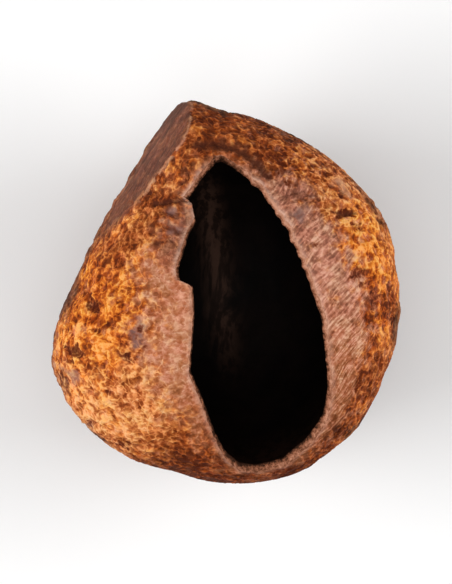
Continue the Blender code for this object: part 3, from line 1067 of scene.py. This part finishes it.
def times(tree, first, second):
    return reckon(tree, "MULTIPLY", first, second)


def less(tree, value):
    """What a mask leaves over."""
    return reckon(tree, "SUBTRACT", 1.0, value)


def weigh(tree, *pairs):
    """Sum of values times weights."""
    total = 0.0
    for value, weight in pairs:
        total = reckon(tree, "MULTIPLY_ADD", value, weight, total)
    return total


def mix(tree, masks, shares):
    """Sum of the masks that shares names, each times its share."""
    return weigh(tree, *((masks[name], share) for name, share in shares.items()))


def step(tree, value, low, high, out_low=0.0, out_high=1.0):
    """Smooth step of a value between two limits."""
    limits = {"Value": value, "From Min": low, "From Max": high, "To Min": out_low, "To Max": out_high}
    return add(tree, "ShaderNodeMapRange", limits, interpolation_type="SMOOTHSTEP").outputs["Result"]


def tones(tree, value, ramp_tones):
    """Colour ramp through the given tones."""
    node = add(tree, "ShaderNodeValToRGB", {"Fac": value})
    ramp = node.color_ramp
    while len(ramp.elements) < len(ramp_tones):
        ramp.elements.new(0.5)
    for element, (position, colour) in zip(ramp.elements, ramp_tones):
        element.position = position
        element.color = (*colour, 1.0)
    return node.outputs["Color"]


def start_group(name, inputs):
    """Starts a group that puts out one mask."""
    group = bpy.data.node_groups.new(name, "ShaderNodeTree")
    for socket, value in inputs.items():
        kind = "NodeSocketVector" if value is None else "NodeSocketFloat"
        made = group.interface.new_socket(socket, in_out="INPUT", socket_type=kind)
        if value is not None:
            made.default_value = value
    group.interface.new_socket("Mask", in_out="OUTPUT", socket_type="NodeSocketFloat")
    return group, group.nodes.new("NodeGroupInput").outputs, group.nodes.new("NodeGroupOutput").inputs


def mottling_group():
    """Cloudy patches with soft edges."""
    group, given, result = start_group(
        "mottling", {"Place": None, "Fineness": 500.0, "Detail": 4.0, "Low": 0.35, "High": 0.65}
    )
    shape = {"Scale": given["Fineness"], "Detail": given["Detail"], "Roughness": MOTTLING_ROUGHNESS}
    cloud = add(group, "ShaderNodeTexNoise", {"Vector": given["Place"], **shape})
    join(group, step(group, cloud.outputs["Fac"], given["Low"], given["High"]), result["Mask"])
    return group


def noise_texture(tree, place, fineness):
    """Soft lumps with one finer layer."""
    return add(tree, "ShaderNodeTexNoise", {"Vector": place, "Scale": fineness, "Detail": 1.0})


def reckon_places(tree, operation, inputs):
    return add(tree, "ShaderNodeVectorMath", inputs, operation=operation).outputs["Vector"]


def crazing_group():
    """Fine worm-like lines, where a bent field of lumps crosses its middle value."""
    group, given, result = start_group(
        "crazing", {"Place": None, "Fineness": 900.0, "Bend": 0.0006, "Width": 0.06}
    )
    bender = noise_texture(group, given["Place"], BEND_FINENESS)
    centred = reckon_places(group, "SUBTRACT", {0: bender.outputs["Color"], 1: (0.5, 0.5, 0.5)})
    bent = reckon_places(group, "SCALE", {0: centred, "Scale": given["Bend"]})
    place = reckon_places(group, "ADD", {0: given["Place"], 1: bent})
    lumps = noise_texture(group, place, given["Fineness"])
    off = reckon(group, "ABSOLUTE", reckon(group, "SUBTRACT", lumps.outputs["Fac"], 0.5))
    join(group, step(group, off, 0.0, given["Width"], 1.0, 0.0), result["Mask"])
    return group


def striation_group():
    """Fine stripes along the third direction of the places given."""
    group, given, result = start_group(
        "striation", {"Place": None, "Fineness": 1.6, "Stretch": 0.25, "Low": 0.38, "High": 0.62}
    )
    parts = add(group, "ShaderNodeSeparateXYZ", {0: given["Place"]}).outputs
    along = reckon(group, "MULTIPLY", parts["Z"], given["Stretch"])
    place = add(group, "ShaderNodeCombineXYZ", {"X": parts["X"], "Y": parts["Y"], "Z": along})
    shape = {"Scale": given["Fineness"], "Detail": 3.0, "Roughness": MOTTLING_ROUGHNESS}
    stripes = add(group, "ShaderNodeTexNoise", {"Vector": place.outputs["Vector"], **shape})
    join(group, step(group, stripes.outputs["Fac"], given["Low"], given["High"]), result["Mask"])
    return group


def thread_net_group():
    """Thin threads along the borders between cells."""
    group, given, result = start_group("thread_net", {"Place": None, "Fineness": 0.3, "Width": 0.1})
    scaled = {"Vector": given["Place"], "Scale": given["Fineness"]}
    cells = add(group, "ShaderNodeTexVoronoi", scaled, feature="DISTANCE_TO_EDGE")
    join(group, step(group, cells.outputs["Distance"], 0.0, given["Width"], 1.0, 0.0), result["Mask"])
    return group


def place_group(tree, group, place, values):
    """Places a group with its own values and gives its mask."""
    node = add(tree, "ShaderNodeGroup", node_tree=group)
    for name, value in {"Place": place, **values}.items():
        join(tree, value, node.inputs[name])
    return node.outputs["Mask"]


def start_material(name):
    """Starts a material, and gives its shader and the places on the object that its patterns follow."""
    material = bpy.data.materials.new(name)
    material.use_nodes = True
    tree = material.node_tree
    place = tree.nodes.new("ShaderNodeTexCoord").outputs["Object"]
    return material, tree, tree.nodes["Principled BSDF"], place


def bump(tree, shader, height, distance, strength):
    """Raises the surface by a bump of the given height."""
    node = add(tree, "ShaderNodeBump", {"Height": height, "Distance": distance, "Strength": strength})
    join(tree, node.outputs["Normal"], shader.inputs["Normal"])


def read_skin(tree, place, mottling, crazing, striation):
    """All masks that the skin's colours are mixed from: its grain, and those kept on the mesh."""
    masks = {name: place_group(tree, mottling, place, values) for name, values in SKIN_MOTTLING.items()}
    masks["craze"] = place_group(tree, crazing, place, SKIN_CRAZING)
    masks["stripe"] = place_group(tree, striation, place_on(tree, "stripe_place"), BAND_STRIPES)
    masks["streak"] = place_group(tree, striation, place_on(tree, "flat_place"), FLAT_STREAKS)
    masks.update({name: mask(tree, name) for name in SKIN_MASKS})
    return masks


def brightness(tree, masks):
    """How bright the skin is: its mottling, as strong as the contrast says, and its painted light and shade
    by plan angle.
    """
    crisp = times(tree, masks["worm"], step(tree, masks["patch"], *CRISP_LIMITS))
    detail = mix(tree, {**masks, "crisp": crisp}, DETAIL_MIX)
    detail = reckon(tree, "SUBTRACT", detail, DETAIL_MEAN)
    # adds the painted light and shade by plan angle
    bright = weigh(tree, (detail, masks["contrast"]), (masks["tone_with_painted_light"], 1.0))
    return reckon(tree, "ADD", bright, DETAIL_MEAN)


def amber_skin(tree, masks):
    """Colour of the plain skin: brown, amber, and golden in places."""
    brown = tones(tree, mix(tree, masks, BROWN_MIX), BROWN_TONES)
    warmth = step(tree, masks["bright"], *WARMTH_LIMITS)
    golden = step(tree, mix(tree, masks, GOLDEN_MIX), *GOLDEN_LIMITS)
    orange = blend(tree, golden, tones(tree, warmth, AMBER_TONES), tones(tree, warmth, GOLDEN_TONES))
    return blend(tree, masks["amber_here"], brown, orange)


def skin_threads(tree, masks, thread_net):
    """Where tan threads run over the sides and back, the ridges' crests among them."""
    place = place_on(tree, "thread_place")
    coarse = place_group(tree, thread_net, place, COARSE_THREADS)
    fine = place_group(tree, thread_net, place, FINE_THREADS)
    thread = times(tree, masks["ridge"], step(tree, masks["craze"], *RIDGE_LIMITS))
    thread = reckon(tree, "MAXIMUM", thread, times(tree, coarse, COARSE_THREAD_STRENGTH))
    thread = reckon(tree, "MAXIMUM", thread, times(tree, fine, FINE_THREAD_STRENGTH))
    thread = times(tree, thread, step(tree, mix(tree, masks, THREAD_MIX), *THREAD_LIMITS))
    thread = times(tree, thread, less(tree, masks["facet"]))
    return times(tree, thread, less(tree, masks["amber_here"]))


def add_grey(tree, masks, colour):
    """The grey-brown of the long flat, the painted grey sheen round the widest level, and the painted
    highlight along the flat's crease.
    """
    grey_brown = tones(tree, mix(tree, masks, FLAT_MIX), FACET_TONES)
    # painted grey sheen round the widest level
    outline_sheen = times(tree, masks["outline_sheen"], step(tree, masks["cloud"], *SHEEN_LIMITS))
    grey_here = reckon(tree, "MAXIMUM", masks["facet"], outline_sheen)
    colour = cover(tree, colour, grey_brown, grey_here, GREY_STRENGTH)
    # painted highlight along the crease
    crease_highlight = times(tree, masks["crease_highlight"], step(tree, masks["cloud"], *CREASE_HIGHLIGHT_LIMITS))
    return cover(tree, colour, CREASE_HIGHLIGHT_AND_LINE_PALE, crease_highlight, CREASE_HIGHLIGHT_STRENGTH)


def add_band(tree, masks, colour):
    """The scarred band: slanting stripes in salmon, or pinkish grey on the right, with painted light and
    shade by plan angle.
    """
    slanted = times(tree, reckon(tree, "SUBTRACT", masks["stripe"], 0.5), masks["striped"])
    slanted = reckon(tree, "ADD", slanted, 0.5)
    scar = step(tree, mix(tree, {**masks, "slanted": slanted}, SCAR_MIX), *SCAR_LIMITS)
    salmon = blend(tree, masks["mauve"], tones(tree, scar, BAND_TONES), tones(tree, scar, MAUVE_TONES))
    return blend(tree, step(tree, mix(tree, masks, BAND_MIX), *BAND_LIMITS), colour, salmon)


def add_damage(tree, masks, colour):
    """Bruises, pits, cracks with the painted shadow above the mouth, the pale lines on the skin, and the
    painted highlight along the broken edge.
    """
    colour = cover(tree, colour, BRUISE_GREY, masks["grey"], BRUISE_STRENGTH)
    hollow = mix(tree, masks, HOLLOW_MIX)
    colour = blend(tree, step(tree, hollow, *HOLLOW_LIMITS), colour, tones(tree, hollow, HOLLOW_TONES))
    # dark cracks, and the painted shadow above the mouth's top
    colour = cover(tree, colour, CRACK_AND_SHADOW_BROWN, masks["crack"], CRACK_AND_SHADOW_STRENGTH)
    pale = times(tree, masks["pale"], step(tree, masks["cloud"], *PALE_LIMITS))
    colour = cover(tree, colour, CREASE_HIGHLIGHT_AND_LINE_PALE, pale, PALE_STRENGTH)
    # painted highlight along the rim of the broken edge
    rim_highlight = times(tree, masks["rim_highlight"], step(tree, masks["cloud"], *RIM_HIGHLIGHT_LIMITS))
    return blend(tree, rim_highlight, colour, RIM_HIGHLIGHT_PALE)


def woody_coat(mottling, crazing, striation, thread_net):
    """The skin, from its plain colour to the damage on top."""
    material, tree, shader, place = start_material("woody_coat")
    masks = read_skin(tree, place, mottling, crazing, striation)
    masks["bright"] = brightness(tree, masks)
    masks["amber_here"] = step(tree, mix(tree, masks, AMBER_MIX), *AMBER_LIMITS)
    masks["thread"] = skin_threads(tree, masks, thread_net)
    colour = amber_skin(tree, masks)
    colour = cover(tree, colour, RIDGE_TAN, masks["thread"], THREAD_STRENGTH)
    colour = add_grey(tree, masks, colour)
    colour = add_band(tree, masks, colour)
    colour = tint(tree, colour, tones(tree, masks["flush"], FLUSH_TINTS))
    colour = add_damage(tree, masks, colour)
    join(tree, colour, shader.inputs["Base Color"])
    join(tree, step(tree, masks["bright"], *COAT_ROUGHNESS_LIMITS), shader.inputs["Roughness"])
    bump(tree, shader, mix(tree, masks, COAT_HEIGHT_MIX), *COAT_BUMP)
    shader.inputs["Specular IOR Level"].default_value = COAT_SPECULAR
    return material


def broken_edge_wood(mottling, crazing):
    """Crumbled wood across the broken edge, darker towards the hollow, with painted light and shade round
    the mouth.
    """
    material, tree, shader, place = start_material("broken_edge")
    masks = {
        "crumb": place_group(tree, mottling, place, EDGE_CRUMBS),
        "pores": place_group(tree, crazing, place, EDGE_PORES),
        "inward": step(tree, mask(tree, "into_edge"), *INWARD_LIMITS),
        "edge_painted_light": mask(tree, "edge_painted_light"),
    }
    tone_with_painted_light = reckon(tree, "ADD", mix(tree, masks, EDGE_MIX), EDGE_MEAN)
    join(tree, tones(tree, tone_with_painted_light, EDGE_TONES), shader.inputs["Base Color"])
    bump(tree, shader, masks["crumb"], *EDGE_BUMP)
    shader.inputs["Roughness"].default_value = EDGE_ROUGHNESS
    shader.inputs["Specular IOR Level"].default_value = EDGE_SPECULAR
    return material


def inner_wall(mottling, striation):
    """The wall of the hollow, painted nearly black as shade, with its faint seam and its lighter upper
    part.
    """
    material, tree, shader, place = start_material("inner_wall")
    stain = place_group(tree, mottling, place, WALL_STAINS)
    # painted shade: the wall is nearly black
    wall = blend(tree, stain, WALL_PAINTED_SHADE, WALL_SHADED_STAIN)
    fibres = place_group(tree, striation, place_on(tree, "fibre_place"), WALL_FIBRES)
    seam = times(tree, mask(tree, "seam"), step(tree, fibres, *SEAM_LIMITS))
    wall = blend(tree, seam, wall, WALL_SEAM)
    upper = times(tree, mask(tree, "upper_wall"), step(tree, fibres, *UPPER_WALL_LIMITS))
    join(tree, blend(tree, upper, wall, WALL_UPPER), shader.inputs["Base Color"])
    bump(tree, shader, stain, *WALL_BUMP)
    shader.inputs["Roughness"].default_value = WALL_ROUGHNESS
    shader.inputs["Specular IOR Level"].default_value = WALL_SPECULAR
    return material


# Floor, light and camera

FLOOR_SIZE = 4.0
FLOOR_COLOUR = (0.9, 0.9, 0.9, 1.0)
FLOOR_ROUGHNESS = 0.9
SKY_COLOUR = (1.0, 1.0, 1.0, 1.0)
SKY_STRENGTH = 0.2

# Soft lights: place, size and power
LIGHTS = (
    ((-0.55, -0.08, 0.38), 0.45, 4.0),
    ((0.55, 0.05, 0.38), 0.45, 3.2),
    ((0.0, -0.1, 0.9), 0.5, 1.4),
)

# The camera looks straight down into the mouth
CAMERA_HEIGHT = 1.0235
CAMERA_LENS = 451.0


def plain_material(name, colour):
    material = bpy.data.materials.new(name)
    material.use_nodes = True
    shader = material.node_tree.nodes["Principled BSDF"]
    shader.inputs["Base Color"].default_value = colour
    shader.inputs["Roughness"].default_value = FLOOR_ROUGHNESS
    return material


def make_floor():
    half = FLOOR_SIZE / 2
    mesh = bpy.data.meshes.new("floor")
    corners = [(-half, -half, 0), (half, -half, 0), (half, half, 0), (-half, half, 0)]
    mesh.from_pydata(corners, [], [(0, 1, 2, 3)])
    mesh.materials.append(plain_material("floor", FLOOR_COLOUR))
    floor = bpy.data.objects.new("floor", mesh)
    bpy.context.scene.collection.objects.link(floor)


def make_lights():
    world = bpy.data.worlds.new("studio")
    world.use_nodes = True
    sky = world.node_tree.nodes["Background"]
    sky.inputs["Color"].default_value = SKY_COLOUR
    sky.inputs["Strength"].default_value = SKY_STRENGTH
    bpy.context.scene.world = world
    for number, (place, size, power) in enumerate(LIGHTS):
        light = bpy.data.lights.new(f"soft_light_{number}", "AREA")
        light.size = size
        light.energy = power
        lamp = bpy.data.objects.new(f"soft_light_{number}", light)
        lamp.location = place
        lamp.rotation_euler = (-Vector(place)).to_track_quat("-Z", "Y").to_euler()
        bpy.context.scene.collection.objects.link(lamp)


def make_camera():
    data = bpy.data.cameras.new("camera")
    data.lens = CAMERA_LENS
    camera = bpy.data.objects.new("camera", data)
    camera.location = (0.0, 0.0, CAMERA_HEIGHT)
    bpy.context.scene.collection.objects.link(camera)
    bpy.context.scene.camera = camera


def main():
    noise.seed_set(NOISE_SEED)
    mottling, crazing, striation = mottling_group(), crazing_group(), striation_group()
    mesh = build_shell()
    mesh.materials.append(woody_coat(mottling, crazing, striation, thread_net_group()))
    mesh.materials.append(broken_edge_wood(mottling, crazing))
    mesh.materials.append(inner_wall(mottling, striation))
    shell = bpy.data.objects.new("shell_piece", mesh)
    bpy.context.scene.collection.objects.link(shell)
    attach(shell, "root")
    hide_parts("shell")
    make_floor()
    make_lights()
    make_camera()
    bpy.context.scene.view_settings.view_transform = "Standard"


main()
